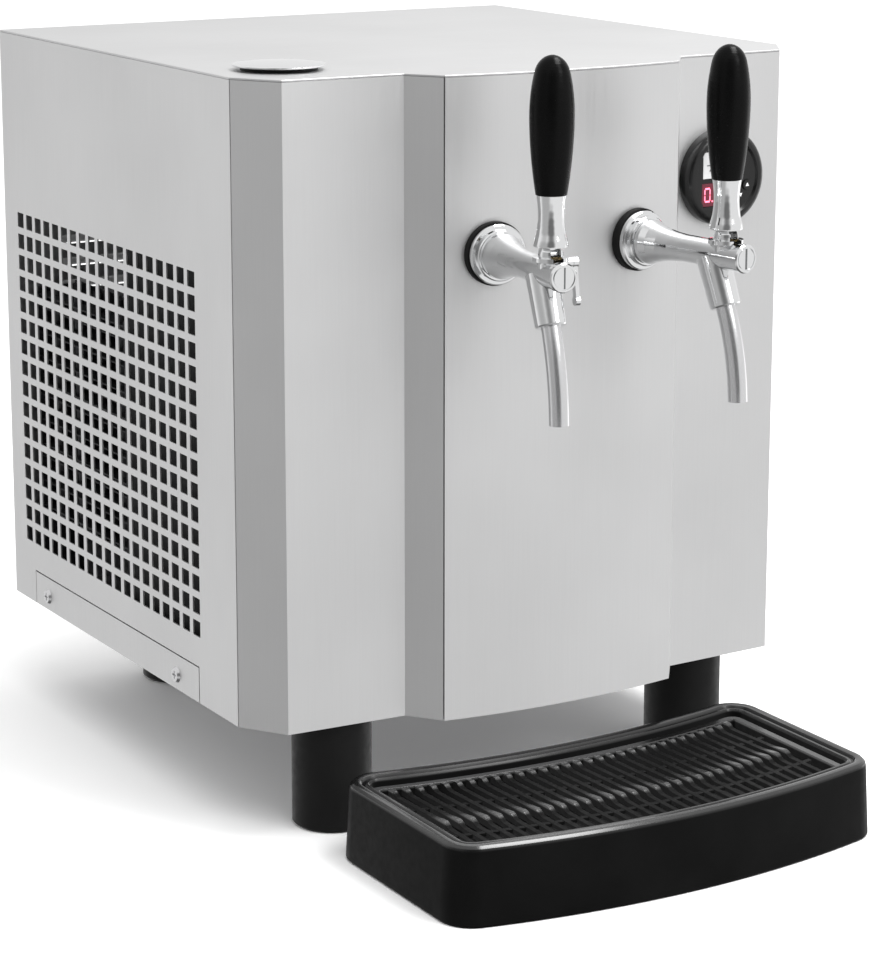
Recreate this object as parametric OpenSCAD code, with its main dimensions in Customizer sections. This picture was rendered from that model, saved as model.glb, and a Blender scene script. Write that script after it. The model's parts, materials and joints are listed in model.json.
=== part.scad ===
// Countertop beer chiller with two taps, a thermostat and a loose drip tray.
// +Z up, the front faces -Y. The origin is on the counter, under the centre of the bounding box.

/* [Cabinet] */
// Width of the cabinet
cabinet_w = 450; // [440:1:480]
// Length of the flat part of each side, front corner to rear panel
side_len = 395; // [395:1:430]
// Height of the cabinet without its feet
cabinet_h = 450; // [445:1:480]
// Thickness of the sheet metal
sheet = 1.2; // [1:0.1:1.5]
// Depth of the bow of the front centre panel
panel_bow = 8; // [6:0.5:12]
// Height of the feet
foot_h = 82; // [60:1:100]
// Diameter of each foot
foot_d = 57; // [45:1:60]

/* [Side grille] */
// Number of hole columns in each side grille
grille_cols = 19; // [8:1:19]
// Number of hole rows in each side grille
grille_rows = 16; // [8:1:16]
// Distance between hole centres
grille_pitch = 16.7; // [15:0.1:17]
// Side of each square hole
grille_hole = 11.5; // [6:0.5:13]

/* [Taps] */
// Distance of the left tap from the centre of the front
left_tap_x = 59.5; // [50:0.5:65]
// Distance of the right tap from the centre of the front
right_tap_x = 57.5; // [50:0.5:65]
// Height of the tap axis above the cabinet's bottom
tap_z = 328; // [320:1:335]
// Length of the tap from the panel to its end cap
tap_len = 108; // [106:1:112]
// Length of the black handle
handle_len = 90.5; // [80:0.5:110]
// Largest diameter of the handle
handle_d = 29.5; // [27:0.5:34]
// Outer diameter of the spout tube
spout_d = 13.5; // [12:0.5:15]

/* [Thermostat] */
// Diameter of the thermostat bezel
bezel_d = 70; // [64:1:70]
// Height of the thermostat's centre above the cabinet's bottom
thermostat_z = 362; // [340:0.5:375]

/* [Drip tray] */
// Width of the tray at its rim
tray_w = 340; // [320:1:350]
// Depth of the tray, rear rim to front rim
tray_depth = 164; // [150:1:170]
// Bow of the tray's front and rear edges
tray_bow = 22; // [15:1:25]
// Height of the tray
tray_h = 55; // [45:1:60]
// Number of slats in the tray's grille
slats = 31; // [15:2:41]

/* [Hidden] */

// Smoothness of the round shapes
fine = 96;
// Smoothness of the front's wide bow
bow_fine = 1440;
eps = 0.01;

// Plan of the cabinet's right half, from the side (D) round to the centre panel's edge (G).
// y = 0 is the line where the flat sides end.
half_w = cabinet_w / 2;
pt_d = [half_w, 0];
pt_e = [half_w - 22, -33];
pt_f = [half_w - 112, -37];
pt_g = [half_w - 130, -61];
bow_r = (pt_g[0] * pt_g[0] + panel_bow * panel_bow) / (2 * panel_bow);
bow_y = pt_g[1] - panel_bow + bow_r;
column_gap = 0.6;
cover_t = 1.5;
wall_top = cabinet_h - cover_t - 0.1;
flange = 15;
flange_z = 2.1;

// Tray, in the cabinet's plan
tray_x = -8;
tray_rear = -52;
tray_front = tray_rear - tray_depth;
tray_corner = 22;
tray_flare = 3;

// Rear fittings stand out this far behind the rear panel
inlet_reach = 26;
inlet_x = [-40, 40];
inlet_z = 90;
inlet_tube_r = 4.76;
inlet_socket_x = 160;
inlet_socket_z = 60;
// The plan is shifted so that the origin is under the centre of the bounding box.
corner_y = (tray_bow + tray_flare - tray_front - side_len - inlet_reach) / 2;

// Centre of the hole field of each side grille
grille_y = 213.5;
grille_z = 180;

// Base strips and their notch in the side panels
strip_y = 61;
strip_len = 292;
strip_h = 26;
strip_gap = 0.9;
screw_r = 2;
screw_head_r = 6;
screw_head_h = 2;
screw_shank = 5.5;
strip_screw_y = [97.5, 329.5];
strip_screw_z = 11.2;
cover_screw_x = [-150, 150];
cover_screw_z = 441;

// Feet: the rear pair stands further in than the front pair
foot_xy = [[-151, 1], [151, 1], [-98, 364], [98, 364]];
foot_bolt_r = 4;

// Fill cap
fill_xy = [-173, 28];
neck_r = 19;
neck_bore_r = 17;
neck_flange_r = 26.5;
cap_r = 32;
cap_lift = 0.4;

// Tank: outer box, wall and lid
tank_x = [-218, 62];
tank_y = [-12, 188];
tank_top = 372;
tank_wall = 18;
lid_t = 12;
tank_c = [-78, 90];

// Tap, measured outward from the panel (u) and up from the tap axis (v)
tap_turn = [6.7, 8.5];
gasket_t = 4.5;
gasket_r = 22;
lever_u = 88;
pivot_v = 13;
barrel_r = 9.5;
tap_bore_r = 5.5;
pin_r = 1.5;
tip_drop = 9;
tip_r = 1.9;
nozzle_lean = 22;
nozzle_u = 75;
nozzle_len = 38;
handle_v = 52;

// Thermostat facet
facet_turn = atan2(pt_e[1] - pt_f[1], pt_e[0] - pt_f[0]);
thermostat_x = 148.5;
thermostat_y = pt_f[1] + (thermostat_x - pt_f[0]) * tan(facet_turn);
key_r = 3.5;
key_travel = 0.8;
key_xz = [[4, -17], [12.5, -13], [18.5, -6.5]];
face_u = 9.5;
face_t = 5;

// ---------- helpers ----------

module at_cabinet() translate([0, corner_y, foot_h]) children();

// Outline of a folded sheet: the path and the same path moved inward by t
function unit(v) = v / norm(v);
function inward(a, b) = let (d = unit(b - a)) [-d[1], d[0]];
function mitre(p, i, t) =
    i == 0 ? p[0] + t * inward(p[0], p[1]) :
    i == len(p) - 1 ? p[i] + t * inward(p[i - 1], p[i]) :
    let (m = inward(p[i - 1], p[i]), n = inward(p[i], p[i + 1])) p[i] + t * (m + n) / (1 + m * n);
function folded(p, t) = concat(p, [for (i = [len(p) - 1:-1:0]) mitre(p, i, t)]);

// Everything in front of the flat sides that lies inside the bow of the centre panel, inset by s
module front_bow(s) intersection() {
    translate([0, bow_y]) circle(r = bow_r - s, $fn = bow_fine);
    translate([-pt_g[0] + s, pt_g[1] - panel_bow - 1]) square([2 * (pt_g[0] - s), panel_bow + 40]);
}

// Plan of the whole cabinet, inset by s
module cabinet_plan(s) {
    front = [for (p = [pt_d, pt_e, pt_f, pt_g]) [p[0] - s, p[1] + s]];
    right = concat([[half_w - s, side_len - s]], front);
    left = [for (i = [len(right) - 1:-1:0]) [-right[i][0], right[i][1]]];
    polygon(concat(right, left));
    front_bow(s);
}

// A round tube swept along points; spin is the direction that orders the sides
function ring(c, t, ref, r, n) =
    let (u = unit(cross(t, ref)), w = cross(u, t))
    [for (k = [0:n - 1]) c + r * (cos(360 * k / n) * u + sin(360 * k / n) * w)];
function heading(p, i) =
    unit(i == 0 ? p[1] - p[0] : i == len(p) - 1 ? p[i] - p[i - 1]
        : unit(p[i + 1] - p[i]) + unit(p[i] - p[i - 1]));
module swept_tube(p, refs, r, n = 6) {
    rings = [for (i = [0:len(p) - 1]) each ring(p[i], heading(p, i), refs[i], r, n)];
    last = (len(p) - 1) * n;
    sides = [for (i = [0:len(p) - 2], k = [0:n - 1])
        let (a = i * n + k, b = i * n + (k + 1) % n) each [[a, b, b + n], [a, b + n, a + n]]];
    caps = [[for (k = [n - 1:-1:0]) k], [for (k = [0:n - 1]) last + k]];
    polyhedron(rings, concat(sides, caps), convexity = 10);
}

// A coil with both ends led straight up: riser, helix, riser
function coil_path(r, z0, z1, turns, per_turn, start, rise_r, rise_z) = concat(
    [[rise_r * cos(start), rise_r * sin(start), rise_z],
        [rise_r * cos(start), rise_r * sin(start), z0 + 18]],
    [for (i = [0:turns * per_turn]) let (a = start + 25 + 360 * i / per_turn)
        [r * cos(a), r * sin(a), z0 + (z1 - z0) * i / (turns * per_turn)]],
    let (a = start + 50 + 360 * turns)
    [[rise_r * cos(a), rise_r * sin(a), z1 + 18], [rise_r * cos(a), rise_r * sin(a), rise_z]]);
module coil(path, r) {
    refs = [for (p = path) unit([p[0], p[1], 0])];
    swept_tube(path, refs, r);
}

// A rod along the outward direction (-Y), from u0 to u1
module rod(r, u0, u1) translate([0, -u0, 0]) rotate([90, 0, 0]) cylinder(r = r, h = u1 - u0, $fn = fine);

// ---------- cabinet ----------

module base_pan() color("silver") at_cabinet() {
    difference() {
        linear_extrude(2) cabinet_plan(sheet + 0.4);
        for (p = foot_xy) translate([p[0], p[1], -1])
            cylinder(r = foot_bolt_r + 0.1, h = 4, $fn = fine);
    }
    for (side = [-1, 1]) difference() {
        translate([side < 0 ? -half_w + sheet + 0.4 : half_w - 2 * sheet - 0.4, strip_y - 8, 2])
            cube([sheet, strip_len + 16, strip_h]);
        for (y = strip_screw_y) translate([side * half_w, y, strip_screw_z]) rotate([0, 90, 0])
            cylinder(r = screw_r + 0.05, h = 20, center = true, $fn = 32);
    }
}

module side_panel_flat() difference() {
    square([side_len, wall_top]);
    translate([strip_y - strip_gap, -1]) square([strip_len + 2 * strip_gap, strip_h + strip_gap + 1]);
    for (i = [0:grille_cols - 1], j = [0:grille_rows - 1])
        translate([grille_y + (i - (grille_cols - 1) / 2) * grille_pitch - grille_hole / 2,
            grille_z + (j - (grille_rows - 1) / 2) * grille_pitch - grille_hole / 2]) square(grille_hole);
}

// The panel on the +X side; the other is its mirror image
module side_panel() at_cabinet()
    translate([half_w, 0, 0]) rotate([90, 0, 90]) translate([0, 0, -sheet])
    linear_extrude(sheet) side_panel_flat();
module right_side_panel() color("gainsboro") side_panel();
module left_side_panel() color("gainsboro") mirror([1, 0, 0]) side_panel();

module rear_panel() color("gainsboro") at_cabinet() difference() {
    translate([-half_w + sheet + 0.1, side_len - sheet, 0])
        cube([cabinet_w - 2 * sheet - 0.2, sheet, wall_top]);
    for (x = [-120, 95], k = [0:11]) translate([x - 60, side_len - 3, 170 + 18 * k])
        cube([120, 6, 7]);
    for (x = inlet_x) translate([x, side_len, inlet_z]) rotate([90, 0, 0])
        cylinder(r = 9.1, h = 10, center = true, $fn = fine);
    translate([inlet_socket_x - 24, side_len - 5, inlet_socket_z - 14]) cube([48, 10, 28]);
    for (x = cover_screw_x) translate([x, side_len, cover_screw_z]) rotate([90, 0, 0])
        cylinder(r = screw_r + 0.05, h = 20, center = true, $fn = 32);
}

module top_cover() color("whitesmoke") at_cabinet() {
    difference() {
        translate([0, 0, cabinet_h - cover_t]) linear_extrude(cover_t) cabinet_plan(0);
        translate([fill_xy[0], fill_xy[1], cabinet_h - 5]) cylinder(r = neck_r + 0.1, h = 10, $fn = fine);
    }
    // turned-down lips along the sides and the rear
    for (side = [-1, 1])
        translate([side < 0 ? -half_w + sheet + 0.2 : half_w - 2 * sheet - 0.2, 20, cabinet_h - flange])
            cube([sheet, side_len - 40, flange - cover_t + eps]);
    difference() {
        translate([-half_w + 20, side_len - 2 * sheet - 0.1, cabinet_h - flange])
            cube([cabinet_w - 40, sheet, flange - cover_t + eps]);
        for (x = cover_screw_x) translate([x, side_len, cover_screw_z]) rotate([90, 0, 0])
            cylinder(r = screw_r + 0.05, h = 20, center = true, $fn = 32);
    }
}

// The folded column on the +X side, with a flange that tucks behind the side panel
module front_column() {
    tuck = [half_w - sheet - 0.1, flange];
    path = [[pt_g[0], pt_g[1]], pt_f, pt_e, pt_d];
    difference() {
        union() {
            linear_extrude(wall_top) polygon(folded(path, sheet));
            translate([tuck[0] - sheet, -1.2, flange_z]) cube([sheet, flange + 1.2, wall_top - flange_z]);
        }
        translate([pt_g[0] + column_gap - 5, pt_g[1] - 5, -1]) cube([5, 10, cabinet_h]);
        translate([half_w - sheet - 0.05, -column_gap, -1]) cube([5, 20, cabinet_h]);
    }
}
module left_front_column() color("gainsboro") at_cabinet() mirror([1, 0, 0]) front_column();
module right_front_column() color("gainsboro") at_cabinet() difference() {
    front_column();
    at_thermostat() rotate([-90, 0, 0]) cylinder(r = 24.6, h = 20, center = true, $fn = fine);
}

module front_centre_panel() color("gainsboro") at_cabinet() difference() {
    union() {
        linear_extrude(wall_top) difference() {
            front_bow(0);
            translate([0, bow_y]) circle(r = bow_r - sheet, $fn = bow_fine);
        }
        for (side = [-1, 1])
            translate([side < 0 ? -pt_g[0] : pt_g[0] - sheet, pt_g[1] + 1, flange_z])
                cube([sheet, flange, wall_top - flange_z]);
    }
    for (side = [-1, 1]) at_tap(side) rod(11.2, -20, 20);
}

module base_strip() difference() {
    translate([half_w - sheet, strip_y, 0.2]) cube([sheet, strip_len, strip_h - 0.2]);
    for (y = strip_screw_y) translate([half_w, y, strip_screw_z]) rotate([0, 90, 0])
        cylinder(r = screw_r + 0.05, h = 10, center = true, $fn = 32);
}
module right_base_strip() color("gainsboro") at_cabinet() base_strip();
module left_base_strip() color("gainsboro") at_cabinet() mirror([1, 0, 0]) base_strip();

// Pan-head screw along +X with its head's underside at the origin
module screw(shank) difference() {
    rotate([0, 90, 0]) union() {
        cylinder(r1 = screw_head_r, r2 = screw_head_r - 1.2, h = screw_head_h, $fn = 48);
        translate([0, 0, -shank]) cylinder(r = screw_r, h = shank + eps, $fn = 32);
    }
    for (a = [0, 90]) rotate([a, 0, 0]) translate([screw_head_h - 0.9, -3, -0.65]) cube([2, 6, 1.3]);
}
module panel_screws() color("lightgray") at_cabinet() {
    for (side = [0, 1], y = strip_screw_y) mirror([side, 0, 0])
        translate([half_w, y, strip_screw_z]) screw(screw_shank);
    for (x = cover_screw_x) translate([x, side_len, cover_screw_z]) rotate([0, 0, 90]) screw(screw_shank);
}

module feet() color("black") translate([0, corner_y, 0]) for (p = foot_xy) translate([p[0], p[1], 0])
    rotate_extrude($fn = fine) polygon([[0, 0], [foot_d / 2 - 2, 0], [foot_d / 2, 2], [foot_d / 2, foot_h],
        [foot_bolt_r + 0.1, foot_h], [foot_bolt_r + 0.1, 44], [0, 44]]);

module foot_bolts() color("silver") translate([0, corner_y, foot_h]) for (p = foot_xy)
    translate([p[0], p[1], 0]) {
        translate([0, 0, 2]) cylinder(r = 7.5, h = 5.3, $fn = 6);
        translate([0, 0, -foot_h + 46]) cylinder(r = foot_bolt_r, h = foot_h - 43, $fn = 48);
    }

// ---------- fill port ----------

module fill_neck() color("black") at_cabinet() translate([fill_xy[0], fill_xy[1], 0])
    rotate_extrude($fn = fine) polygon([[neck_bore_r, tank_top - 4], [neck_r, tank_top - 4],
        [neck_r, cabinet_h], [neck_flange_r, cabinet_h], [neck_flange_r, cabinet_h + 1.6],
        [neck_flange_r - 0.8, cabinet_h + 2.4], [neck_bore_r, cabinet_h + 2.4]]);

module fill_cap() color("lightgray") at_cabinet()
    translate([fill_xy[0], fill_xy[1], cabinet_h + 2.4 + cap_lift]) {
    dome_h = 2.2;
    dome_r = (cap_r * cap_r + dome_h * dome_h) / (2 * dome_h);
    rotate_extrude($fn = fine) polygon(concat([[0, 0], [cap_r - 0.6, 0], [cap_r, 0.6]],
        [for (k = [0:8]) let (x = cap_r * (1 - k / 8))
            [x, 1.2 + dome_h - dome_r + sqrt(dome_r * dome_r - x * x)]]));
    // spigot inside the neck
    rotate_extrude($fn = fine) polygon([[neck_bore_r - 2.5, -7], [neck_bore_r - 0.5, -7],
        [neck_bore_r - 0.5, eps], [neck_bore_r - 2.5, eps]]);
}

// ---------- thermostat ----------

// Local frame on the right facet: -Y points out of the panel
module at_thermostat() translate([thermostat_x, thermostat_y, thermostat_z])
    rotate([0, 0, facet_turn]) children();

module thermostat_bezel() color("black") at_cabinet() at_thermostat() difference() {
    rotate([90, 0, 0]) rotate_extrude($fn = fine) polygon([[20, 0.05], [bezel_d / 2, 0.05],
        [bezel_d / 2, face_u - 3.5], [bezel_d / 2 - 0.5, face_u - 1.6], [bezel_d / 2 - 1.8, face_u + 0.2],
        [bezel_d / 2 - 3.8, face_u + 1.3], [bezel_d / 2 - 6.8, face_u + 1.5],
        [bezel_d / 2 - 8.4, face_u], [0, face_u], [0, face_t - 1.5], [20, face_t - 1.5]]);
    for (k = key_xz) translate([k[0], 0, k[1]]) rotate([90, 0, 0])
        cylinder(r = key_r + 0.3, h = 30, center = true, $fn = 48);
    translate([-21, -face_u - 2, 0]) cube([37, 2.6, 19.4]);
    translate([-21.8, -face_u - 2, -20]) cube([19.8, 2.6, 17]);
}
module thermostat_label() color("lightgray") at_cabinet() at_thermostat()
    translate([-20.8, -face_u + 0.1, 0.2]) cube([36.6, 0.5, 19]);
module thermostat_display() color("red") at_cabinet() at_thermostat()
    translate([-21.6, -face_u + 0.1, -19.8]) cube([19.4, 0.5, 16.6]);
module thermostat_housing() color("dimgray") at_cabinet() at_thermostat() difference() {
    union() {
        rotate([-90, 0, 0]) cylinder(r = 24.4, h = 34, $fn = fine);
        translate([0, -face_t + 1.6, 0]) rotate([-90, 0, 0]) cylinder(r = 19.8, h = face_t, $fn = fine);
    }
    for (k = key_xz) translate([k[0], 0.6, k[1]]) rotate([90, 0, 0])
        cylinder(r = key_r + 0.3, h = 20, $fn = 48);
}
module key(k) at_cabinet() at_thermostat() translate([key_xz[k][0], -0.6, key_xz[k][1]])
    rotate([90, 0, 0]) cylinder(r = key_r, h = face_u + key_travel - 0.2, $fn = 48);
module set_key() color("black") key(0);
module down_key() color("black") key(1);
module up_key() color("black") key(2);

// ---------- taps ----------

// Local frame of the tap on one side: the origin is on the panel, -Y points out along the tap
module at_tap(side) {
    x = side < 0 ? -left_tap_x : right_tap_x;
    turn = side < 0 ? -tap_turn[0] : tap_turn[1];
    translate([x, bow_y - sqrt(bow_r * bow_r - x * x), tap_z]) rotate([0, 0, turn]) children();
}
module place_tap(side) at_cabinet() at_tap(side) children();

// A turned shape along the tap: points are [radius, u]
module turned(points) rotate([90, 0, 0]) rotate_extrude($fn = fine) polygon(points);

// The back of each gasket is moulded to the panel's bow
module tap_gaskets() color("black") difference() {
    for (side = [-1, 1]) place_tap(side) turned([[11.4, -2], [gasket_r, -2], [gasket_r, gasket_t - 0.6],
        [gasket_r - 0.6, gasket_t], [11.4, gasket_t]]);
    at_cabinet() translate([0, bow_y, 0]) cylinder(r = bow_r + 0.02, h = cabinet_h, $fn = bow_fine);
}

module shank_nuts() color("silver") for (side = [-1, 1]) place_tap(side) difference() {
    union() {
        rod(19, -6.5, -3.2);
        translate([0, 6, 0]) rotate([-90, 0, 0]) cylinder(r = 17, h = 9, $fn = 6);
    }
    rod(11.05, -30, 5);
}

module shank(side) place_tap(side) turned([[5, -38], [11, -38], [11, gasket_t + 0.02],
    [20.4, gasket_t + 0.02], [20.8, gasket_t + 0.6], [20.8, 8], [20, 8.9], [17.6, 9.2], [17.6, 12.2],
    [16.8, 13], [5, 13]]);
module left_shank() color("lightgray") shank(-1);
module right_shank() color("lightgray") shank(1);

// Axis of the slanted nozzle, pointing down and outward
module at_nozzle() translate([0, -nozzle_u, 0]) rotate([180 - nozzle_lean, 0, 0]) children();

module tap_body(side) place_tap(side) difference() {
    union() {
        turned([[0, 13.1], [14.8, 13.1], [15.6, 14.4], [15.4, 17], [13.6, 22], [11.6, 30], [10.2, 40],
            [barrel_r, 50], [barrel_r, tap_len - 5], [0, tap_len - 5]]);
        translate([0, -lever_u, 0]) rotate_extrude($fn = fine) polygon(concat([[0, 0], [9, 0], [9, 7],
            [12, 8.5], [12, 11.2], [8.5, 11.8]],
            [for (a = [0:15:75]) [8.5 * cos(a), pivot_v + 8.5 * sin(a)]], [[0, pivot_v + 8.5]]));
        at_nozzle() cylinder(r = 8, h = 22, $fn = fine);
        if (side < 0) translate([0, -lever_u, 6.5]) rotate([0, 90, 0]) cylinder(r = 3.8, h = 15, $fn = fine);
    }
    rod(5, 0, tap_len);
    rod(tap_bore_r, 44, tap_len);
    // slot for the lever's blade
    translate([-3.7, -lever_u - 13, 0]) cube([7.4, 26, 30]);
    translate([-12, -lever_u, pivot_v]) rotate([0, 90, 0]) cylinder(r = pin_r, h = 24, $fn = 48);
    at_nozzle() cylinder(r = 5, h = 30, $fn = fine);
    if (side < 0) translate([8.2, -lever_u, 6.5]) rotate([0, 90, 0]) cylinder(r = 2.05, h = 10, $fn = 48);
}
module left_tap_body() color("lightgray") tap_body(-1);
module right_tap_body() color("lightgray") tap_body(1);

module end_cap(side) place_tap(side) difference() {
    turned([[0, tap_len - 10], [tap_bore_r - 0.02, tap_len - 10], [tap_bore_r - 0.02, tap_len - 4.9],
        [barrel_r + 0.4, tap_len - 4.9], [barrel_r + 0.4, tap_len - 1], [barrel_r - 0.4, tap_len],
        [8, tap_len], [8, tap_len - 0.8], [7.1, tap_len - 0.8], [7.1, tap_len], [0, tap_len]]);
    translate([-1, -tap_len - 1, -7]) cube([2, 2.2, 14]);
}
module left_end_cap() color("lightgray") end_cap(-1);
module right_end_cap() color("lightgray") end_cap(1);

// The spool slides in the barrel; the lever's tip sits in its slot
module spool(side) place_tap(side) difference() {
    turned([[0, 62], [tap_bore_r - 0.3, 62], [tap_bore_r - 0.05, 63], [tap_bore_r - 0.05, 68], [3.5, 69],
        [3.5, 82], [tap_bore_r - 0.05, 83], [tap_bore_r - 0.05, 94], [0, 94]]);
    translate([-6, -lever_u - tip_r - 0.35, 1.3]) cube([12, 2 * tip_r + 0.7, 10]);
}
module left_spool() color("goldenrod") spool(-1);
module right_spool() color("goldenrod") spool(1);

// Blade with the pin's eye and the tip below it, and the bell, waist and ferrule above
module lever(side) place_tap(side) translate([0, -lever_u, pivot_v]) difference() {
    union() {
        translate([-3.4, 0, 0]) rotate([0, 90, 0]) cylinder(r = 4.2, h = 6.8, $fn = fine);
        translate([-3.4, -3, 0]) cube([6.8, 6, 16]);
        translate([-3.4, -1.4, -tip_drop]) cube([6.8, 2.8, tip_drop]);
        translate([-3.4, 0, -tip_drop]) rotate([0, 90, 0]) cylinder(r = tip_r, h = 6.8, $fn = 48);
        rotate_extrude($fn = fine) polygon(concat([[0, 16], [5, 16]],
            [for (a = [50:-10:30]) [9.4 * cos(a), 9.4 * sin(a)]],
            [[11.3, 5.2], [11.5, 6], [11, 9], [9.6, 14], [8.9, 19], [8.6, 24], [8.7, 29], [9.2, 34],
                [9.9, 38.8], [4, 38.8], [4, 53], [0, 53]]));
    }
    translate([-10, 0, 0]) rotate([0, 90, 0]) cylinder(r = pin_r + 0.05, h = 20, $fn = 48);
}
module left_lever() color("lightgray") lever(-1);
module right_lever() color("lightgray") lever(1);

module lever_pin(side) place_tap(side) translate([-8.1, -lever_u, pivot_v]) rotate([0, 90, 0])
    cylinder(r = pin_r, h = 16.2, $fn = 48);
module left_lever_pin() color("silver") lever_pin(-1);
module right_lever_pin() color("silver") lever_pin(1);

// Handle radius at a fraction t of its length; the top is a dome from t = 0.86
dome_t = 0.86;
function handle_swell(t) = t < 0.57 ? 1 - 0.3 * pow((0.57 - t) / 0.57, 1.9)
    : 1 - 0.24 * pow((t - 0.57) / 0.33, 2);
function handle_r(t) = handle_d / 2 * handle_swell(t)
    * (t < dome_t ? 1 : sqrt(max(0, 1 - pow((t - dome_t) / (1 - dome_t), 3))));
handle_steps = concat([for (k = [0:20]) dome_t * k / 20],
    [for (a = [9:9:90]) dome_t + (1 - dome_t) * sin(a)]);
module handle(side) place_tap(side) translate([0, -lever_u, handle_v])
    rotate_extrude($fn = fine) polygon(concat([[4.02, 16], [4.02, 0.02]],
        [for (t = handle_steps) [handle_r(t), 0.02 + t * handle_len]], [[0, 16]]));
module left_handle() color("black") handle(-1);
module right_handle() color("black") handle(1);

module nozzle(side) place_tap(side) difference() {
    at_nozzle() rotate_extrude($fn = fine) polygon([[8.03, 2], [11.6, 2], [10.6, nozzle_len - 1],
        [9.8, nozzle_len], [spout_d / 2 + 0.02, nozzle_len], [spout_d / 2 + 0.02, 22.2], [8.03, 22.2]]);
    rod(barrel_r + 0.1, 30, tap_len);
    translate([-20, -tap_len, 0]) cube([40, 100, 30]);
}
module left_nozzle() color("lightgray") nozzle(-1);
module right_nozzle() color("lightgray") nozzle(1);

// Spout: a straight end held in the nozzle, then a gentle bend towards the vertical
spout_straight = 16;
spout_bend_r = 185;
spout_bend = 20;
spout_wall = 1;
module tube_section() difference() {
    circle(r = spout_d / 2, $fn = 48);
    circle(r = spout_d / 2 - spout_wall, $fn = 48);
}
module spout(side) place_tap(side) at_nozzle() translate([0, 0, 22.3]) {
    linear_extrude(spout_straight) tube_section();
    translate([0, -spout_bend_r, spout_straight]) rotate([90, 0, 90])
        rotate_extrude(angle = spout_bend, $fn = fine) translate([spout_bend_r, 0]) tube_section();
}
module left_spout() color("lightgray") spout(-1);
module right_spout() color("lightgray") spout(1);

// Flow lever: a short shaft in the body's side, a hub and an arm that hangs down
module left_flow_lever() color("lightgray") place_tap(-1) translate([0, -lever_u, 6.5]) {
    rotate([0, 90, 0]) {
        translate([0, 0, 8.6]) cylinder(r = 2, h = 7, $fn = 48);
        translate([0, 0, 15.2]) cylinder(r = 3.8, h = 3.6, $fn = fine);
    }
    hull() {
        translate([15.4, -3, -3]) cube([2.6, 6, 3]);
        translate([18, -2.2, -26]) cube([2.4, 4.4, 2]);
    }
    translate([17.6, 0, -26]) rotate([0, 90, 0]) cylinder(r = 3.2, h = 3.2, $fn = 48);
}

// ---------- drip tray ----------

// Plan of the tray, inset by s: bowed front, bowed rear and round corners
tray_half = tray_w / 2;
tray_arc_r = (tray_half * tray_half + tray_bow * tray_bow) / (2 * tray_bow);
function arc(c, r, a0, a1, n) = [for (k = [0:n]) let (a = a0 + (a1 - a0) * k / n)
    [c[0] + r * cos(a), c[1] + r * sin(a)]];
function tray_right(s) =
    let (r = max(tray_corner - s, 2), x = tray_half - s - r,
        rf = tray_arc_r - s, rr = tray_arc_r + s,
        cf = tray_front - tray_bow + tray_arc_r, cr = tray_rear - tray_bow + tray_arc_r,
        yf = cf - sqrt((rf - r) * (rf - r) - x * x), yr = cr - sqrt((rr + r) * (rr + r) - x * x),
        af = atan2(yf - cf, x), ar = atan2(cr - yr, -x))
    concat(arc([0, cf], rf, -90, af, 12), arc([x, yf], r, af, 0, 7),
        arc([x, yr], r, 0, ar, 7), arc([0, cr], rr, 180 + ar, 270, 12));
function tray_plan(s) = let (p = tray_right(s), n = len(p))
    [for (i = [0:n - 1]) p[i], for (i = [n - 2:-1:1]) [-p[i][0], p[i][1]]];

// The tray is one skin through a list of [inset, height] rings
module ringed(profile) {
    n = len(tray_plan(0));
    m = len(profile);
    pts = [for (q = profile) each [for (p = tray_plan(q[0])) [p[0], p[1], q[1]]]];
    sides = [for (i = [0:m - 2], k = [0:n - 1])
        let (a = i * n + k, b = i * n + (k + 1) % n) each [[a, b + n, b], [a, a + n, b + n]]];
    caps = [[for (k = [0:n - 1]) k], [for (k = [n - 1:-1:0]) (m - 1) * n + k]];
    polyhedron(pts, concat(sides, caps), convexity = 10);
}
module at_tray() translate([tray_x, corner_y, 0]) children();

grille_ledge = tray_h - 13;
module drip_tray() color([0.05, 0.05, 0.05]) at_tray() ringed([[-1.8, 0], [-tray_flare, 1.6],
    [-0.4, tray_h - 5], [0.4, tray_h - 2], [2.2, tray_h - 0.4], [4.5, tray_h], [7, tray_h - 0.8],
    [8, tray_h - 3], [10, tray_h - 3], [11, tray_h - 1.6], [12.5, tray_h - 1.6], [13.5, tray_h - 3],
    [14, grille_ledge], [19, grille_ledge], [21, 9], [26, 4]]);

grille_t = 6;
slat_w = 4;
// y of the tray's rear edge at x
function rear_edge(x) = tray_rear - tray_bow + tray_arc_r - sqrt(tray_arc_r * tray_arc_r - x * x);
// Side view of a slat, rear to front: two crests that fall towards the front
slat_side = [[-12, 0], [-12, 4.4], [-22, 5.7], [-24, 5.9], [-25.5, 5.4], [-29, 3.4], [-32, 3],
    [-78, 4.2], [-90, 5.7], [-93, 6], [-95, 5.5], [-99.5, 3], [-103, 2.6], [-tray_depth - 4, 2.6],
    [-tray_depth - 4, 0]];
module drip_grille() color([0.03, 0.03, 0.03]) at_tray() translate([0, 0, grille_ledge + 0.05]) {
    pitch = (tray_w - 2 * 20) / (slats + 1);
    linear_extrude(grille_t) difference() {
        polygon(tray_plan(14.6));
        polygon(tray_plan(20));
    }
    intersection() {
        linear_extrude(grille_t) polygon(tray_plan(19.5));
        for (k = [1:slats]) let (x = -tray_w / 2 + 20 + k * pitch)
            translate([x - slat_w / 2, rear_edge(x), 0]) rotate([90, 0, 90])
                linear_extrude(slat_w) polygon(slat_side);
    }
    // two cross bars under the slats
    linear_extrude(2.4) intersection() {
        polygon(tray_plan(19.5));
        for (y = [0.36, 0.7]) translate([0, tray_rear - y * tray_depth - tray_bow + tray_arc_r]) difference() {
            circle(r = tray_arc_r, $fn = 360);
            circle(r = tray_arc_r - 4, $fn = 360);
        }
    }
}

// ---------- cooling bath ----------

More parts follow.
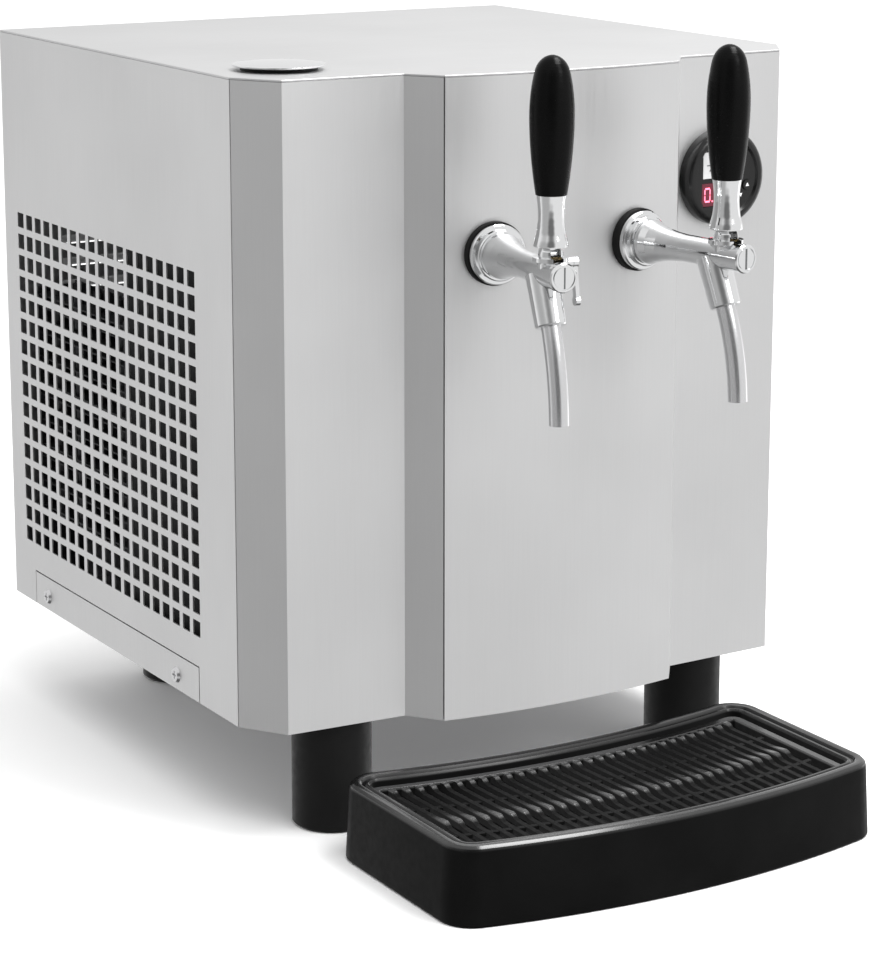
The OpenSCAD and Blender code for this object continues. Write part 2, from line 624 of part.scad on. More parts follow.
// The tank's corner beside the front column is cut off
module tank_plan() polygon([[tank_x[0], 4], [-206, tank_y[0]], [tank_x[1], tank_y[0]],
    [tank_x[1], tank_y[1]], [tank_x[0], tank_y[1]]]);
module water_tank() color([0.03, 0.03, 0.03]) at_cabinet() difference() {
    translate([0, 0, 2.05]) linear_extrude(tank_top - 2.05) tank_plan();
    translate([0, 0, 2 + tank_wall]) linear_extrude(tank_top) offset(delta = -tank_wall) tank_plan();
    for (p = foot_xy) translate([p[0], p[1], 0]) cylinder(r = 9, h = 9, $fn = 48);
}

coil_rise_r = 34;
coil_tube_r = 4;
coil_starts = [0, 180];
function coil_end(start, turns) = start + 50 + 360 * turns;
lid_rise = [for (s = coil_starts) each [s, coil_end(s, 5)]];
module tank_lid() color([0.03, 0.03, 0.03]) at_cabinet() difference() {
    translate([0, 0, tank_top]) linear_extrude(lid_t) tank_plan();
    translate([fill_xy[0], fill_xy[1], tank_top - 1]) cylinder(r = neck_r + 0.1, h = 20, $fn = fine);
    translate([tank_c[0], tank_c[1], tank_top - 1]) {
        cylinder(r = 6, h = 20, $fn = 48);
        for (a = lid_rise) rotate([0, 0, a]) translate([coil_rise_r, 0]) cylinder(r = 5, h = 20, $fn = 32);
        for (a = evap_rise) rotate([0, 0, a]) translate([evap_rise_r, 0]) cylinder(r = 5.5, h = 20, $fn = 32);
    }
}

evap_rise_r = 56;
evap_start = 90;
evap_turns = 8;
evap_rise = [evap_start, coil_end(evap_start, evap_turns)];
module evaporator_coil() color("peru") at_cabinet() translate([tank_c[0], tank_c[1], 0])
    coil(coil_path(68, 60, 300, evap_turns, 16, evap_start, evap_rise_r, tank_top + 22), 4.5);

module beer_coils() color("silver") at_cabinet() translate([tank_c[0], tank_c[1], 0]) {
    coil(coil_path(45, 60, 160, 5, 16, coil_starts[0], coil_rise_r, tank_top + 22), coil_tube_r);
    coil(coil_path(45, 190, 290, 5, 16, coil_starts[1], coil_rise_r, tank_top + 22), coil_tube_r);
}

module agitator_motor() color("dimgray") at_cabinet() translate([tank_c[0], tank_c[1], tank_top + lid_t]) {
    rotate_extrude($fn = fine) polygon([[4.05, 0], [24, 0], [24, 6], [22, 8], [22, 42], [19, 46], [0, 46],
        [0, 30], [4.05, 30]]);
}
module agitator_shaft() color("silver") at_cabinet() translate([tank_c[0], tank_c[1], 0]) {
    translate([0, 0, 120]) cylinder(r = 4, h = tank_top + lid_t + 28 - 120, $fn = fine);
    for (a = [0, 90, 180, 270]) rotate([0, 0, a]) translate([2, -1, 124]) rotate([35, 0, 0])
        translate([0, 0, -7]) cube([18, 2, 14]);
}

// ---------- condensing unit ----------

compressor_c = [138, 290];
module compressor() color([0.12, 0.12, 0.13]) at_cabinet() translate([compressor_c[0], compressor_c[1], 0]) {
    rotate_extrude($fn = fine) polygon(concat([[0, 16]],
        [for (a = [-90:15:0]) [30 + 32 * cos(a), 48 + 32 * sin(a)]],
        [for (a = [0:15:90]) [30 + 32 * cos(a), 130 + 32 * sin(a)]], [[0, 162]]));
    difference() {
        translate([-70, -60, 14]) cube([140, 120, 3]);
        for (x = [-60, 60], y = [-50, 50]) translate([x, y, 10]) cylinder(r = 5.1, h = 10, $fn = 32);
    }
    translate([55, -16, 70]) cube([16, 32, 36]);
}
module compressor_grommets() color("black") at_cabinet()
    translate([compressor_c[0], compressor_c[1], 0]) for (x = [-60, 60], y = [-50, 50])
        translate([x, y, 0]) rotate_extrude($fn = 48)
            polygon([[0, 2], [9, 2], [9, 13.9], [5, 13.9], [5, 17.1], [8, 17.1], [8, 20], [0, 20]]);

fan_y = 290;
fan_z = 160;
condenser_x = -210;
module condenser() color([0.1, 0.1, 0.1]) at_cabinet() {
    for (k = [0:17]) translate([condenser_x, fan_y - 80, fan_z - 85 + k * 10]) cube([34, 160, 1.2]);
    for (x = [9, 25], y = [-60, -20, 20, 60]) translate([condenser_x + x, fan_y + y, fan_z - 92])
        cylinder(r = 4, h = 186, $fn = 32);
    difference() {
        translate([condenser_x + 34, fan_y - 85, fan_z - 90]) cube([2, 170, 182]);
        translate([condenser_x, fan_y, fan_z]) rotate([0, 90, 0]) cylinder(r = 72, h = 60, $fn = fine);
    }
    for (s = [-1, 1]) translate([condenser_x, fan_y + s * 82.5 - 2.5, 2]) cube([36, 5, fan_z + 88]);
}
fan_x = condenser_x + 42;
module fan_motor() color("dimgray") at_cabinet() {
    translate([fan_x + 26, fan_y, fan_z]) rotate([0, 90, 0]) rotate_extrude($fn = fine)
        polygon([[3.05, 0], [24, 0], [27, 3], [27, 36], [22, 42], [0, 42], [0, 16], [3.05, 16]]);
    translate([fan_x + 34, fan_y - 12, 2]) cube([22, 24, fan_z - 27]);
}
module fan_blade() color("black") at_cabinet() translate([fan_x, fan_y, fan_z]) rotate([0, 90, 0]) {
    cylinder(r = 16, h = 18, $fn = fine);
    cylinder(r = 3, h = 40, $fn = fine);
    for (k = [0:4]) rotate([0, 0, 72 * k]) translate([12, 0, 9]) rotate([28, 0, 0])
        translate([0, -16, -1]) cube([52, 32, 2]);
}

// ---------- rear fittings ----------

module beer_inlets() color("silver") at_cabinet() for (x = inlet_x) translate([x, side_len, inlet_z])
    rotate([-90, 0, 0]) difference() {
        union() {
            translate([0, 0, -18]) cylinder(r = 9, h = 20, $fn = fine);
            translate([0, 0, 0]) cylinder(r = 13, h = 5.98, $fn = 6);
            cylinder(r = inlet_tube_r, h = inlet_reach, $fn = fine);
        }
        translate([0, 0, -20]) cylinder(r = 3.2, h = 60, $fn = fine);
    }

module power_inlet() color("black") at_cabinet() translate([inlet_socket_x, side_len, inlet_socket_z])
    difference() {
        union() {
            translate([-23.8, -22, -13.8]) cube([47.6, 24, 27.6]);
            translate([-30, 0, -20]) cube([60, 3, 40]);
        }
        translate([-12, -16, -8]) cube([24, 30, 16]);
        for (x = [-27, 27]) translate([x, -1, 0]) rotate([-90, 0, 0]) cylinder(r = 1.6, h = 10, $fn = 24);
    }

base_pan();
left_side_panel();
right_side_panel();
rear_panel();
top_cover();
left_front_column();
right_front_column();
front_centre_panel();
left_base_strip();
right_base_strip();
panel_screws();
feet();
foot_bolts();
fill_neck();
fill_cap();
thermostat_bezel();
thermostat_housing();
thermostat_label();
thermostat_display();
set_key();
up_key();
down_key();
tap_gaskets();
shank_nuts();
left_shank();
left_tap_body();
left_end_cap();
left_spool();
left_lever();
left_lever_pin();
left_handle();
left_nozzle();
left_spout();
left_flow_lever();
right_shank();
right_tap_body();
right_end_cap();
right_spool();
right_lever();
right_lever_pin();
right_handle();
right_nozzle();
right_spout();
drip_tray();
drip_grille();
water_tank();
tank_lid();
evaporator_coil();
beer_coils();
agitator_motor();
agitator_shaft();
compressor();
compressor_grommets();
condenser();
fan_motor();
fan_blade();
beer_inlets();
power_inlet();
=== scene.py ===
"""Looks of a two-tap countertop beer dispenser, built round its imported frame.

All lengths are in metres.
"""
import json
import math

import bmesh
import bpy
from mathutils import Matrix, Vector


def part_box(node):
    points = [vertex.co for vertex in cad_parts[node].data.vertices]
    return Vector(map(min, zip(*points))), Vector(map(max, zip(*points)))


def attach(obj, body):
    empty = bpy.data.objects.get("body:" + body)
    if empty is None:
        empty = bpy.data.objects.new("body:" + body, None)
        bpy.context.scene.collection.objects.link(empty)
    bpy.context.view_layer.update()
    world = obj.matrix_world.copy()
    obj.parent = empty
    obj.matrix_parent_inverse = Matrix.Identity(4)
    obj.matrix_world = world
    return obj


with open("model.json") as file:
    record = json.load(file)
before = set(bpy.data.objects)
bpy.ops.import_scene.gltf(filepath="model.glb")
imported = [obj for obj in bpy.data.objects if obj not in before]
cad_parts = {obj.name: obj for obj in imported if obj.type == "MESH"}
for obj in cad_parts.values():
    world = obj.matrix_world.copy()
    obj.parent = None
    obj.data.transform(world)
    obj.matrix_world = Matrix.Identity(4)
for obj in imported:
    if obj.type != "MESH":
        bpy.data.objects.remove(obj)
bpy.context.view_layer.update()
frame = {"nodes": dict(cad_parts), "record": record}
NODES = frame["nodes"]
MM = 0.001


# ---------------------------------------------------------------- materials


class Shader:
    """A Principled material with short calls for the nodes that the finishes below share."""

    def __init__(self, name, color, roughness, metallic=0.0, **sockets):
        self.material = bpy.data.materials.new(name)
        self.material.use_nodes = True
        self.tree = self.material.node_tree
        self.bsdf = self.tree.nodes["Principled BSDF"]
        self.bsdf.inputs["Base Color"].default_value = (*color, 1.0)
        self.bsdf.inputs["Roughness"].default_value = roughness
        self.bsdf.inputs["Metallic"].default_value = metallic
        for key, value in sockets.items():
            self.bsdf.inputs[key.replace("_", " ")].default_value = value
        self.coords = self.tree.nodes.new("ShaderNodeTexCoord").outputs["Object"]

    def node(self, kind, **values):
        made = self.tree.nodes.new(kind)
        for key, value in values.items():
            setattr(made, key, value)
        return made

    def link(self, source, target):
        self.tree.links.new(source, target)

    def noise(self, scale, detail=3.0, stretch=(1.0, 1.0, 1.0)):
        """Noise in object space; stretch multiplies the scale along each axis."""
        mapping = self.node("ShaderNodeMapping")
        mapping.inputs["Scale"].default_value = stretch
        self.link(self.coords, mapping.inputs["Vector"])
        noise = self.node("ShaderNodeTexNoise")
        noise.inputs["Scale"].default_value = scale
        noise.inputs["Detail"].default_value = detail
        self.link(mapping.outputs["Vector"], noise.inputs["Vector"])
        return noise.outputs["Fac"]

    def ranged(self, source, low, high, from_low=0.3, from_high=0.7):
        remap = self.node("ShaderNodeMapRange")
        remap.inputs["From Min"].default_value = from_low
        remap.inputs["From Max"].default_value = from_high
        remap.inputs["To Min"].default_value = low
        remap.inputs["To Max"].default_value = high
        self.link(source, remap.inputs["Value"])
        return remap.outputs["Result"]

    def vary_color(self, source, dark, light, from_low=0.3, from_high=0.7):
        ramp = self.node("ShaderNodeValToRGB")
        ramp.color_ramp.elements[0].position = from_low
        ramp.color_ramp.elements[0].color = (*dark, 1.0)
        ramp.color_ramp.elements[1].position = from_high
        ramp.color_ramp.elements[1].color = (*light, 1.0)
        self.link(source, ramp.inputs["Fac"])
        self.link(ramp.outputs["Color"], self.bsdf.inputs["Base Color"])

    def vary_roughness(self, source, low, high):
        self.link(self.ranged(source, low, high), self.bsdf.inputs["Roughness"])

    def bump(self, source, height, strength=1.0):
        bump = self.node("ShaderNodeBump")
        bump.inputs["Distance"].default_value = height
        bump.inputs["Strength"].default_value = strength
        self.link(source, bump.inputs["Height"])
        self.link(bump.outputs["Normal"], self.bsdf.inputs["Normal"])


def scaled(color, factor):
    return tuple(min(1.0, c * factor) for c in color)


STROKE_SCALE = 1400.0
# Noise is drawn out into strokes by this factor
STROKE_STRETCH = 0.012
STROKE_HEIGHT = 0.00004
CLOUD_SCALE = 7.0


def brushed_steel(name, color, stroke, roughness=0.46):
    """Satin steel with fine strokes along one axis (0, 1 or 2)."""
    made = Shader(name, color, roughness, metallic=0.97)
    stretch = [1.0, 1.0, 1.0]
    stretch[stroke] = STROKE_STRETCH
    strokes = made.noise(STROKE_SCALE, 5.0, stretch)
    clouds = made.noise(CLOUD_SCALE, 3.0)
    made.vary_color(clouds, scaled(color, 0.965), scaled(color, 1.03))
    made.vary_roughness(strokes, roughness - 0.05, roughness + 0.06)
    made.bump(strokes, STROKE_HEIGHT, 0.35)
    return made.material


# Bump heights, from smooth moulds to foam
SMOOTH_GRAIN = 0.00001
FINE_GRAIN = 0.00006
CAST_GRAIN = 0.0001
FOAM_GRAIN = 0.0006


def polished_metal(name, color, roughness=0.06, haze=0.05):
    """Plated or polished metal: faint haze and the slight waviness of a hand-polished casting."""
    made = Shader(name, color, roughness, metallic=1.0)
    made.vary_roughness(made.noise(60.0, 4.0), roughness, roughness + haze)
    made.bump(made.noise(240.0, 2.0), FINE_GRAIN, 0.25)
    return made.material


def moulded(name, color, roughness, grain=900.0, height=FINE_GRAIN, **sockets):
    """Moulded plastic or rubber with a fine grain and a little uneven gloss."""
    made = Shader(name, color, roughness, **sockets)
    made.vary_color(made.noise(25.0, 4.0), scaled(color, 0.8), scaled(color, 1.25))
    made.vary_roughness(made.noise(180.0, 3.0), roughness - 0.05, roughness + 0.08)
    made.bump(made.noise(grain, 2.0), height, 0.5)
    return made.material


def worn_glossy(name, node, fade):
    """Black tray plastic: grained and matt low down, worn glossy over the top of the node."""
    made = Shader(name, (0.003, 0.003, 0.003), 0.45,
                  Specular_IOR_Level=0.06, Coat_Roughness=0.18, Coat_IOR=1.75)
    split = made.node("ShaderNodeSeparateXYZ")
    made.link(made.coords, split.inputs["Vector"])
    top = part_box(node)[1].z
    made.link(
        made.ranged(split.outputs["Z"], 0.0, 1.0, top - fade, top - fade * 0.3),
        made.bsdf.inputs["Coat Weight"],
    )
    made.vary_color(made.noise(18.0, 4.0), (0.002, 0.002, 0.002), (0.004, 0.004, 0.004))
    made.vary_roughness(made.noise(180.0, 3.0), 0.38, 0.5)
    made.bump(made.noise(700.0, 3.0), FINE_GRAIN, 0.4)
    return made.material


def lit(name, color, strength):
    made = Shader(name, color, 0.4)
    made.bsdf.inputs["Emission Color"].default_value = (*color, 1.0)
    made.bsdf.inputs["Emission Strength"].default_value = strength
    made.vary_roughness(made.noise(300.0), 0.3, 0.5)
    return made.material


STEEL = (0.7, 0.7, 0.702)
MATERIALS = {
    "panel_upright": brushed_steel("panel_upright", STEEL, 2),
    # Painted shade: the top cover's steel is the upright panels' steel painted 8 % darker, where
    # the overhead lights fall on the top
    "shaded_top_steel": brushed_steel("shaded_top_steel", scaled(STEEL, 0.92), 0, 0.46),
    "plain_steel": brushed_steel("plain_steel", (0.55, 0.55, 0.56), 0, 0.42),
    "spout_steel": brushed_steel("spout_steel", (0.72, 0.72, 0.73), 2, 0.2),
    "chrome": polished_metal("chrome", (0.84, 0.845, 0.85)),
    "bolt_steel": polished_metal("bolt_steel", (0.7, 0.7, 0.71), 0.18, 0.1),
    "brass": polished_metal("brass", (0.72, 0.52, 0.25), 0.2, 0.15),
    "copper": polished_metal("copper", (0.68, 0.36, 0.2), 0.3, 0.2),
    "handle": moulded("handle", (0.002, 0.002, 0.002), 0.24, 1600.0, SMOOTH_GRAIN,
                      Specular_IOR_Level=0.09),
    "plastic": moulded("plastic", (0.006, 0.006, 0.006), 0.45, Specular_IOR_Level=0.15),
    "rubber": moulded("rubber", (0.006, 0.006, 0.006), 0.6, Specular_IOR_Level=0.15),
    "gloss": moulded("gloss", (0.006, 0.006, 0.006), 0.16, 2500.0, SMOOTH_GRAIN,
                     Specular_IOR_Level=0.4),
    "label": moulded("label", (0.5, 0.5, 0.5), 0.45, 2000.0, SMOOTH_GRAIN),
    "screen": moulded("screen", (0.09, 0.006, 0.016), 0.12, 2500.0, SMOOTH_GRAIN,
                      Coat_Weight=0.2),
    "enamel": moulded("enamel", (0.02, 0.02, 0.022), 0.35, 500.0, CAST_GRAIN),
    "foam": moulded("foam", (0.012, 0.012, 0.013), 0.85, 300.0, FOAM_GRAIN),
    "fins": brushed_steel("fins", (0.1, 0.1, 0.105), 1, 0.5),
    "tray": worn_glossy("tray", "drip_tray", 0.004),
    "grille": worn_glossy("grille", "drip_grille", 0.002),
    "digit": lit("digit", (1.0, 0.16, 0.25), 2.2),
    "mark": moulded("mark", (0.75, 0.75, 0.76), 0.4, 2000.0, SMOOTH_GRAIN),
    "ink": moulded("ink", (0.05, 0.05, 0.055), 0.5, 2000.0, SMOOTH_GRAIN),
}

# The finish of each material slot of the record
FINISH = {
    "panel_steel": "panel_upright",
    "pan_steel": "plain_steel",
    "screw_steel": "bolt_steel",
    "tap_chrome": "chrome",
    "spool_brass": "brass",
    "handle_black": "handle",
    "black_plastic": "plastic",
    "tray_black": "tray",
    "bezel_black": "gloss",
    "label_grey": "label",
    "display_red": "screen",
    "key_black": "gloss",
    "seal_rubber": "rubber",
    "housing_grey": "plastic",
    "tank_shell": "foam",
    "coil_copper": "copper",
    "machine_black": "enamel",
    "fin_black": "fins",
}
# Nodes whose finish isn't their slot's first choice
SPECIAL = {
    "top_cover": "shaded_top_steel", "drip_grille": "grille",
    "left_spout": "spout_steel", "right_spout": "spout_steel",
}

# Rounding of each node's edges, in millimetres; the rest get EDGE_MM
EDGE_MM = 0.25
EDGES_MM = {
    "feet": 1.2, "fill_neck": 0.4, "top_cover": 0.35, "panel_screws": 0.15,
    "left_nozzle": 0.5, "right_nozzle": 0.5, "left_flow_lever": 0.5,
    "thermostat_bezel": 0.3, "left_lever": 0.3, "right_lever": 0.3,
}
# Hidden or very fine nodes whose edges stay as they are
PLAIN = {"drip_tray", "evaporator_coil", "beer_coils", "condenser"}
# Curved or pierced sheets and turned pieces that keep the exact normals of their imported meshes
AS_PACKED = {"front_centre_panel", "left_base_strip", "right_base_strip"} | {
    f"{side}_{part}" for side in ("left", "right")
    for part in ("end_cap", "tap_body", "handle", "spout", "shank", "spool", "lever_pin")}
# Meshes are shaded smooth below this angle between faces, and their edges rounded above the other
SMOOTH_ANGLE = math.radians(28)
ROUND_ANGLE = math.radians(40)
MERGE_DISTANCE = 0.000002


def smoothing_group():
    """Geometry nodes that merge doubled points and shade smooth up to SMOOTH_ANGLE."""
    group = bpy.data.node_groups.new("smooth_by_angle", "GeometryNodeTree")
    group.interface.new_socket("Geometry", in_out="INPUT", socket_type="NodeSocketGeometry")
    group.interface.new_socket("Geometry", in_out="OUTPUT", socket_type="NodeSocketGeometry")
    new, link = group.nodes.new, group.links.new
    entry, leave = new("NodeGroupInput"), new("NodeGroupOutput")
    merge = new("GeometryNodeMergeByDistance")
    merge.inputs["Distance"].default_value = MERGE_DISTANCE
    clean = new("GeometryNodeRemoveAttribute")
    clean.inputs["Name"].default_value = "custom_normal"
    faces = new("GeometryNodeSetShadeSmooth")
    edges = new("GeometryNodeSetShadeSmooth")
    edges.domain = "EDGE"
    edges.inputs["Shade Smooth"].default_value = False
    angle = new("GeometryNodeInputMeshEdgeAngle")
    sharp = new("FunctionNodeCompare")
    sharp.operation = "GREATER_THAN"
    sharp.inputs["B"].default_value = SMOOTH_ANGLE
    link(entry.outputs[0], clean.inputs["Geometry"])
    link(clean.outputs["Geometry"], merge.inputs["Geometry"])
    link(merge.outputs["Geometry"], faces.inputs["Geometry"])
    link(faces.outputs["Geometry"], edges.inputs["Geometry"])
    link(angle.outputs["Unsigned Angle"], sharp.inputs["A"])
    link(sharp.outputs["Result"], edges.inputs["Selection"])
    link(edges.outputs["Geometry"], leave.inputs[0])
    return group


SMOOTHING = smoothing_group()


def smooth_shading(obj):
    modifier = obj.modifiers.new("shading", "NODES")
    modifier.node_group = SMOOTHING


def rounded(obj, width_mm):
    """Round the sharp edges, then keep the flat faces flat in shading."""
    bevel = obj.modifiers.new("edges", "BEVEL")
    bevel.width = width_mm * MM
    bevel.segments = 2
    bevel.limit_method = "ANGLE"
    bevel.angle_limit = ROUND_ANGLE
    bevel.use_clamp_overlap = True
    flat = obj.modifiers.new("flat_faces", "WEIGHTED_NORMAL")
    flat.weight = 50
    flat.keep_sharp = True


def assign(obj, name):
    obj.data.materials.clear()
    obj.data.materials.append(MATERIALS[name])


def finish_cad_nodes():
    for name in ("drip_tray", "drip_grille"):
        # The satin steel above the tray shows the room and the floor, not the tray
        NODES[name].visible_glossy = False
    slots = {part["node"]: part["material_slot"] for part in frame["record"]["subparts"]}
    for name, obj in NODES.items():
        assign(obj, SPECIAL.get(name, FINISH[slots[name]]))
        if name in AS_PACKED:
            continue
        smooth_shading(obj)
        if name not in PLAIN:
            rounded(obj, EDGES_MM.get(name, EDGE_MM))


# ---------------------------------------------------------------- mesh helpers


def add_piece(name, mesh, body, material):
    obj = bpy.data.objects.new(name, mesh)
    bpy.context.scene.collection.objects.link(obj)
    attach(obj, body)
    assign(obj, material)
    return obj


def mesh_from(name, build):
    """A mesh whose faces build(bm) adds."""
    bm = bmesh.new()
    build(bm)
    bmesh.ops.recalc_face_normals(bm, faces=bm.faces)
    mesh = bpy.data.meshes.new(name)
    bm.to_mesh(mesh)
    bm.free()
    return mesh


def add_prism(bm, outline, thickness, matrix):
    """A flat outline in the matrix's XZ plane, raised towards its -Y."""
    back = [bm.verts.new(matrix @ Vector((x, 0.0, z))) for x, z in outline]
    front = [bm.verts.new(matrix @ Vector((x, -thickness, z))) for x, z in outline]
    count = len(outline)
    bm.faces.new(front)
    bm.faces.new(back[::-1])
    for i in range(count):
        j = (i + 1) % count
        bm.faces.new((back[i], back[j], front[j], front[i]))


def bar(x0, z0, x1, z1):
    return [(x0, z0), (x1, z0), (x1, z1), (x0, z1)]


finish_cad_nodes()


# ---------------------------------------------------------------- thermostat face


# The bezel faces this way; the facet it sits on falls back 4 mm over its 90 mm towards the side
FACET_TURN = math.atan2(4, 90)
FACE_OUT = Vector((math.sin(FACET_TURN), -math.cos(FACET_TURN), 0.0))


def face_frame(node, lift):
    """Frame on the front of a thermostat node: X right, Z up, -Y out of the panel."""
    low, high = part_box(node)
    depth = (high.y - low.y) - (high.x - low.x) * math.tan(FACET_TURN)
    centre = (low + high) / 2 + FACE_OUT * (depth / 2 + lift)
    return Matrix.Translation(centre) @ Matrix.Rotation(FACET_TURN, 4, "Z")


# Lift of a print over the face under it, and its own thickness
PRINT_LIFT = 0.00005
DIGIT_THICK = 0.0002
INK_THICK = 0.0001
# The flake's bars cross, so each is a little thicker than the last
INK_STEP = 0.00002
MARK_THICK = 0.0003
MARK_RADIUS = 1.7 * MM
# A key mark sinks this far into the key's cap
MARK_SINK = 0.00002

# Digit cell, and the left edges of the two digits with the segments lit in each
DIGIT_W, DIGIT_H = 5.4 * MM, 10.5 * MM
DIGITS = (("abcdef", -7.6 * MM), ("acdfg", 1.4 * MM))
# Seven segments as unit bars: left, bottom, right, top
SEGMENTS = {
    "a": (0.12, 0.88, 0.88, 1.0), "b": (0.86, 0.54, 1.0, 0.88), "c": (0.86, 0.12, 1.0, 0.46),
    "d": (0.12, 0.0, 0.88, 0.12), "e": (0.0, 0.12, 0.14, 0.46), "f": (0.0, 0.54, 0.14, 0.88),
    "g": (0.12, 0.44, 0.88, 0.56),
}


def digits(bm):
    """Two digits and the point between them."""
    frame_at = face_frame("thermostat_display", PRINT_LIFT)
    for lit_segments, left in DIGITS:
        for key in lit_segments:
            x0, z0, x1, z1 = SEGMENTS[key]
            outline = bar(left + x0 * DIGIT_W, (z0 - 0.5) * DIGIT_H,
                          left + x1 * DIGIT_W, (z1 - 0.5) * DIGIT_H)
            add_prism(bm, outline, DIGIT_THICK, frame_at)
    add_prism(bm, bar(-0.9 * MM, -5.2 * MM, 0.2 * MM, -4.1 * MM), DIGIT_THICK, frame_at)


def label_marks(bm):
    """A snowflake and a level gauge, printed on the grey label."""
    frame_at = face_frame("thermostat_label", PRINT_LIFT)
    flake = frame_at @ Matrix.Translation((-10 * MM, 0.0, 0.0))
    for k in range(3):
        turn = flake @ Matrix.Rotation(math.radians(60 * k), 4, "Y")
        arm = bar(-5 * MM, -0.35 * MM, 5 * MM, 0.35 * MM)
        add_prism(bm, arm, INK_THICK + k * INK_STEP, turn)
    for k in range(6):
        left = (-1 + 2.6 * k) * MM
        level = bar(left, -5 * MM, left + 1.5 * MM, (-3 + 1.3 * k) * MM)
        add_prism(bm, level, INK_THICK, frame_at)


def key_mark(node, corners):
    """A raised regular polygon on a key's cap."""
    def build(bm):
        start = {"up_key": 90, "down_key": -90, "set_key": 45}[node]
        outline = [
            (MARK_RADIUS * math.cos(math.radians(start + 360 * k / corners)),
             MARK_RADIUS * math.sin(math.radians(start + 360 * k / corners)))
            for k in range(corners)
        ]
        add_prism(bm, outline, MARK_THICK, face_frame_round(node))
    return build


def face_frame_round(node):
    """The same frame on the cap of a round key."""
    low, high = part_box(node)
    radius = (high.z - low.z) / 2
    depth = (high.y - low.y) - 2 * radius * math.sin(FACET_TURN)
    depth /= math.cos(FACET_TURN)
    centre = (low + high) / 2 + FACE_OUT * (depth / 2 - MARK_SINK)
    return Matrix.Translation(centre) @ Matrix.Rotation(FACET_TURN, 4, "Z")


add_piece("display_digits", mesh_from("display_digits", digits), "cabinet", "digit")
add_piece("label_marks", mesh_from("label_marks", label_marks), "cabinet", "ink")
for key_node, key_corners in (("up_key", 3), ("down_key", 3), ("set_key", 4)):
    add_piece(f"{key_node}_mark", mesh_from(f"{key_node}_mark", key_mark(key_node, key_corners)),
              f"{key_node}_body", "mark")


# ---------------------------------------------------------------- rear panel details


# Rear vents: centres of the two columns, rows, the first row's height and the rows' distance
VENT_X = (-0.120, 0.095)
VENT_ROWS = 12
VENT_BASE, VENT_PITCH = 0.1705, 0.018
# Each hood: half its width, height, how far it stands out, steps of its curve, gap to the panel
HOOD_HALF, HOOD_HEIGHT, HOOD_REACH, HOOD_STEPS, HOOD_GAP = 0.058, 0.0075, 0.0035, 6, 0.0002
HOOD_SHEET = 0.0006


def louvre_hoods(bm):
    """A pressed hood over each row of the rear vents, open at its lower edge."""
    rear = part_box("rear_panel")[1].y
    floor_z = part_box("rear_panel")[0].z
    for centre_x in VENT_X:
        for row in range(VENT_ROWS):
            base = floor_z + VENT_BASE + VENT_PITCH * row
            rings = []
            for k in range(HOOD_STEPS + 1):
                a = math.pi / 2 * k / HOOD_STEPS
                y = rear + HOOD_GAP + HOOD_REACH * math.cos(a)
                z = base + HOOD_HEIGHT * math.sin(a)
                rings.append([bm.verts.new((centre_x + side * HOOD_HALF, y, z))
                              for side in (-1, 1)])
            for one, two in zip(rings, rings[1:]):
                bm.faces.new((one[0], one[1], two[1], two[0]))


hoods = add_piece("louvre_hoods", mesh_from("louvre_hoods", louvre_hoods), "cabinet",
                  "panel_upright")
thick = hoods.modifiers.new("thickness", "SOLIDIFY")
thick.thickness = HOOD_SHEET
thick.offset = -1
smooth_shading(hoods)


# ---------------------------------------------------------------- stage, light and camera


FLOOR_HALF = 60.0
FLOOR_DROP = 0.0002
SUN_ENERGY = 1.2
# The sun is as wide as a lit ceiling
SUN_ANGLE = math.radians(50)
# The paper's reflectance is past white, so that only deep shadows show on it
PAPER_GLARE = (1.09, 1.11)


def area_light(name, location, target, size, power):
    data = bpy.data.lights.new(name, "AREA")
    data.shape = "RECTANGLE"
    data.size, data.size_y = size
    data.energy = power
    obj = bpy.data.objects.new(name, data)
    bpy.context.scene.collection.objects.link(obj)
    obj.location = location
    obj.rotation_euler = (Vector(target) - Vector(location)).to_track_quat("-Z", "Y").to_euler()


def overexposed_paper():
    """White paper whose plain diffuse shader takes the place of the Principled one."""
    paper = Shader("floor_paper", (0.93, 0.93, 0.93), 0.9)
    diffuse = paper.node("ShaderNodeBsdfDiffuse")
    glare = paper.ranged(paper.noise(40.0), *PAPER_GLARE)
    paper.link(glare, diffuse.inputs["Color"])
    output = next(node for node in paper.tree.nodes if node.type == "OUTPUT_MATERIAL")
    paper.link(diffuse.outputs["BSDF"], output.inputs["Surface"])
    return paper.material


def studio():
    def sheet(bm):
        bmesh.ops.create_grid(bm, x_segments=1, y_segments=1, size=FLOOR_HALF)

    floor = bpy.data.objects.new("floor", mesh_from("floor", sheet))
    bpy.context.scene.collection.objects.link(floor)
    floor.location.z = -FLOOR_DROP
    # The metals see the room's soft gradient below the horizon too, not a hard floor edge
    floor.visible_glossy = False
    floor.data.materials.append(overexposed_paper())

    data = bpy.data.lights.new("ceiling", "SUN")
    data.energy = SUN_ENERGY
    data.angle = SUN_ANGLE
    sun = bpy.data.objects.new("ceiling", data)
    bpy.context.scene.collection.objects.link(sun)
    sun.rotation_euler = Vector((0.0, 0.6, -1.0)).to_track_quat("-Z", "Y").to_euler()
    sun.visible_glossy = False
    area_light("front_softbox", (0.84, -2.09, 1.6), (0.0, -0.1, 0.3), (0.9, 0.9), 9.0)
    area_light("top_softbox", (0.75, -0.5, 2.3), (0.2, -0.3, 0.1), (1.8, 0.8), 46.0)


ROOM_STRENGTH = 0.86
# Lobes of the room: direction, where the lobe starts and is full (degrees off it), brightness
ROOM_LOBES = (
    ((-0.96, -0.18, -0.21), 46, 22, 0.53),
    ((-0.50, -0.84, 0.12), 34, 10, 0.2),
    ((0.93, 0.10, -0.27), 22, 8, 1.8),
    ((0.0, 0.0, -1.0), 62, 25, 0.15),
)


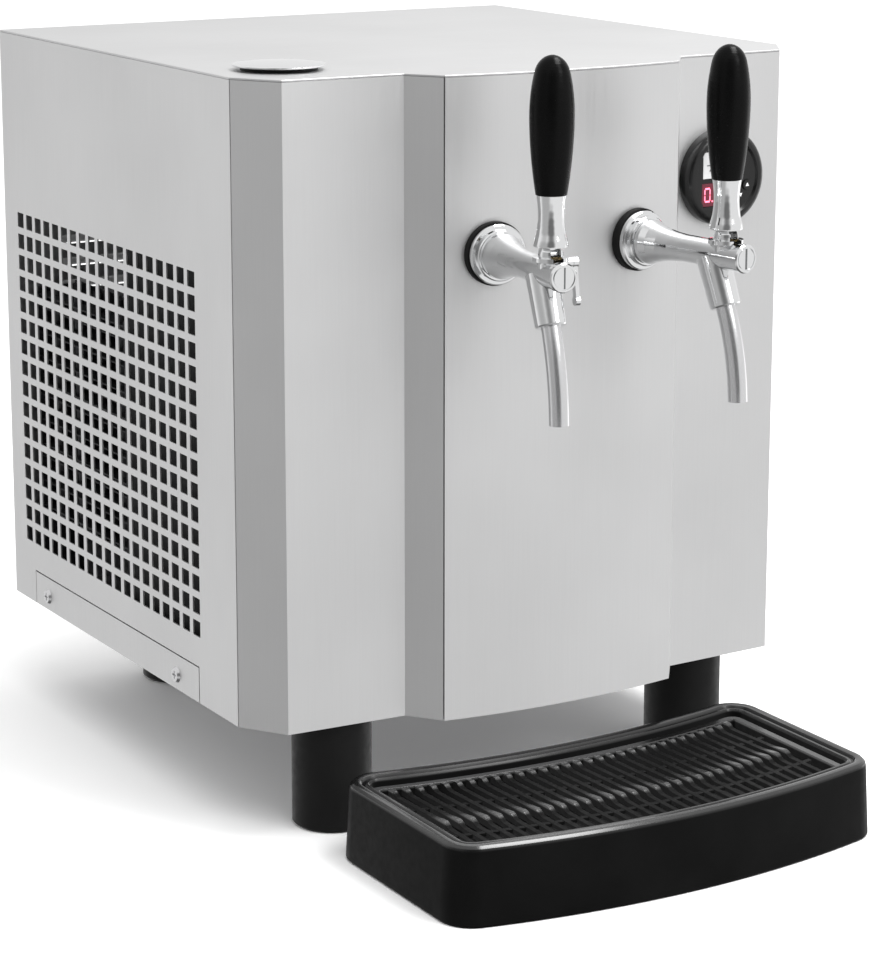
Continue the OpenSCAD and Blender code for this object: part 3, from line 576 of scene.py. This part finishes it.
def world_light():
    """A white room with darker and brighter patches that the metals reflect."""
    world = bpy.data.worlds.new("room")
    bpy.context.scene.world = world
    world.use_nodes = True
    tree = world.node_tree
    background = tree.nodes["Background"]
    direction = tree.nodes.new("ShaderNodeTexCoord").outputs["Generated"]
    level = None
    for axis, start, full, brightness in ROOM_LOBES:
        along = tree.nodes.new("ShaderNodeVectorMath")
        along.operation = "DOT_PRODUCT"
        along.inputs[1].default_value = Vector(axis).normalized()
        tree.links.new(direction, along.inputs[0])
        remap = tree.nodes.new("ShaderNodeMapRange")
        remap.interpolation_type = "SMOOTHSTEP"
        for key, value in (("From Min", math.cos(math.radians(start))),
                           ("From Max", math.cos(math.radians(full))),
                           ("To Min", 1.0), ("To Max", brightness)):
            remap.inputs[key].default_value = value
        tree.links.new(along.outputs["Value"], remap.inputs["Value"])
        if level is None:
            level = remap.outputs["Result"]
            continue
        product = tree.nodes.new("ShaderNodeMath")
        product.operation = "MULTIPLY"
        tree.links.new(level, product.inputs[0])
        tree.links.new(remap.outputs["Result"], product.inputs[1])
        level = product.outputs[0]
    tree.links.new(level, background.inputs["Color"])
    background.inputs["Strength"].default_value = ROOM_STRENGTH


CAMERA_PLACE = (-1.09512, -1.83502, 0.74307)
CAMERA_YAW, CAMERA_PITCH, CAMERA_ROLL = 0.53491, -0.21171, 0.00077
CAMERA_LENS = 110.51
CAMERA_SHIFT = -0.1


def photo_camera():
    data = bpy.data.cameras.new("camera")
    data.lens = CAMERA_LENS
    data.shift_y = CAMERA_SHIFT
    data.clip_start, data.clip_end = 0.05, 100.0
    camera = bpy.data.objects.new("camera", data)
    bpy.context.scene.collection.objects.link(camera)
    place = Matrix.Translation(CAMERA_PLACE)
    tilt = Matrix.Rotation(math.pi / 2 + CAMERA_PITCH, 4, "X")
    turn = Matrix.Rotation(-CAMERA_YAW, 4, "Z") @ tilt
    camera.matrix_world = place @ turn @ Matrix.Rotation(CAMERA_ROLL, 4, "Z")
    bpy.context.scene.camera = camera


studio()
world_light()
photo_camera()
bpy.context.scene.view_settings.view_transform = "Standard"
